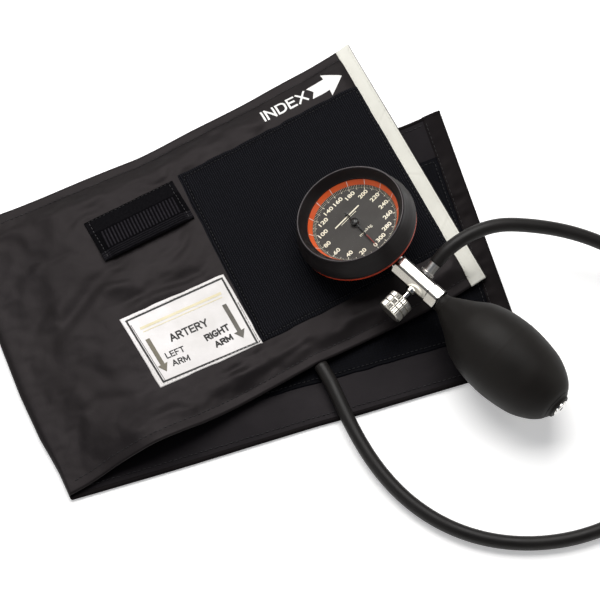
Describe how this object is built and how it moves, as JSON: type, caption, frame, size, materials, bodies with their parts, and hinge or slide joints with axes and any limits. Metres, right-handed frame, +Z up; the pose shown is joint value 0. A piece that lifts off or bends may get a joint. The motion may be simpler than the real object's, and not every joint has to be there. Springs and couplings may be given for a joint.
{
  "type": "blood pressure cuff",
  "caption": "Folded fabric arm cuff with inflatable bladder, hook-and-loop closure, aneroid palm gauge, release valve, squeeze bulb and air hose.",
  "frame": {"origin": "centre of the underside of the tail panel, the flat face the folded cuff rests on", "axes": "+Z up, +X along the tail panel towards its open end, +Y across the cuff"},
  "size_m": [0.366, 0.312, 0.0498],
  "materials": {
    "nylon_front": "woven coated nylon, satin",
    "nylon_tail": "woven coated nylon, satin",
    "nylon_inner": "coated nylon inner face",
    "bladder_rubber": "moulded",
    "pile": "brushed loop pile",
    "hook": "moulded hook tape",
    "stripe": "woven tape",
    "label": "printed woven label",
    "strap": "ribbed elastic webbing",
    "hose": "smooth",
    "case": "satin black",
    "bumper": "matte",
    "accent": "gloss",
    "bezel": "black anodised",
    "lens": "clear",
    "gasket": "matte",
    "dial": "matte grey",
    "scale": "satin",
    "brass_part": "machined",
    "steel_part": "machined",
    "spring_steel": "blued strip",
    "pointer_paint": "matte black",
    "chrome_part": "polished",
    "bulb_rubber": "matte moulded",
    "valve_rubber": "soft"
  },
  "bodies": {
    "bladder_panel": {"outer_cover_front": "nylon_front", "inner_cover_front": "nylon_inner", "bladder": "bladder_rubber", "bladder_port": "bladder_rubber", "pile_patch": "pile", "index_stripe": "stripe", "artery_label": "label", "gauge_strap": "strap", "air_hose": "hose", "fold_outer_cover": "nylon_front", "fold_inner_cover": "nylon_inner"},
    "tail_panel": {"outer_cover_tail": "nylon_tail", "inner_cover_tail": "nylon_tail", "hook_patch": "hook"},
    "handset": {"gauge_case": "case", "gauge_bumper": "bumper", "accent_ring": "accent", "bezel_ring": "bezel", "lens": "lens", "lens_gasket": "gasket", "dial_plate": "dial", "scale_ring": "scale", "diaphragm_capsule": "brass_part", "movement_plate_lower": "brass_part", "movement_plate_upper": "brass_part", "movement_pillars": "brass_part", "plate_screws": "steel_part", "hairspring": "spring_steel", "gauge_stem": "chrome_part", "manifold_body": "chrome_part", "valve_gland": "chrome_part", "gland_seal": "gasket", "hose_nipple": "chrome_part", "bulb_collar": "chrome_part", "bulb_spigot": "chrome_part", "rubber_bulb": "bulb_rubber"},
    "pointer": {"pointer": "pointer_paint", "pinion_shaft": "brass_part"},
    "sector": {"sector_gear": "brass_part", "sector_shaft": "steel_part"},
    "capsule_pin": {"capsule_pin": "steel_part"},
    "release_needle": {"release_needle": "chrome_part"},
    "release_knob": {"release_knob": "chrome_part"},
    "intake_fitting": {"intake_fitting": "chrome_part"},
    "intake_disc": {"intake_disc": "valve_rubber"},
    "outlet_check": {"outlet_check": "valve_rubber"}
  },
  "joints": [
    {"name": "cuff_fold", "type": "hinge", "parent": "bladder_panel", "child": "tail_panel", "pos_m": [-0.1275, 0, 0.00445], "axis": [-0.1045, 0.9945, 0], "range_deg": [0, 180], "deforming": ["fold_outer_cover", "fold_inner_cover"]},
    {"name": "handset_lift", "type": "slide", "parent": "bladder_panel", "child": "handset", "axis": [0, 0, 1], "range_m": [0, 0.06], "deforming": ["air_hose"]},
    {"name": "pointer_turn", "type": "hinge", "parent": "handset", "child": "pointer", "pos_m": [0.0646, 0.0128, 0.026], "axis": [0.2585, -0.1842, -0.9483], "range_deg": [0, 345.5], "deforming": ["hairspring"]},
    {"name": "sector_swing", "type": "hinge", "parent": "handset", "child": "sector", "pos_m": [0.05203, 0.00611, 0.02387], "axis": [0.2585, -0.1842, -0.9483], "range_deg": [-40.5, 0.5]},
    {"name": "capsule_rise", "type": "slide", "parent": "handset", "child": "capsule_pin", "axis": [-0.2585, 0.1842, 0.9483], "range_m": [0, 0.00065]},
    {"name": "knob_turn", "type": "hinge", "parent": "release_needle", "child": "release_knob", "pos_m": [0.08587, -0.0272, 0.026], "axis": [-0.8732, -0.4643, -0.1478], "range_deg": [0, 540]},
    {"name": "needle_travel", "type": "slide", "parent": "handset", "child": "release_needle", "axis": [-0.8732, -0.4643, -0.1478], "range_m": [0, 0.0011]},
    {"name": "bulb_squeeze", "type": "slide", "parent": "handset", "child": "intake_fitting", "axis": [0.4695, -0.8829, 0], "range_m": [0, 0.0015]},
    {"name": "intake_flap", "type": "slide", "parent": "intake_fitting", "child": "intake_disc", "axis": [-0.4695, 0.8829, 0], "range_m": [0, 0.0008]},
    {"name": "outlet_flap", "type": "slide", "parent": "handset", "child": "outlet_check", "axis": [-0.4695, 0.8829, 0], "range_m": [0, 0.0008]}
  ],
  "couplings": [
    {"joint": "sector_swing", "follows": "capsule_rise", "rad_per_m": -1077.2},
    {"joint": "pointer_turn", "follows": "capsule_rise", "rad_per_m": 9263.7},
    {"joint": "needle_travel", "follows": "knob_turn", "m_per_rad": 0.0001114}
  ]
}
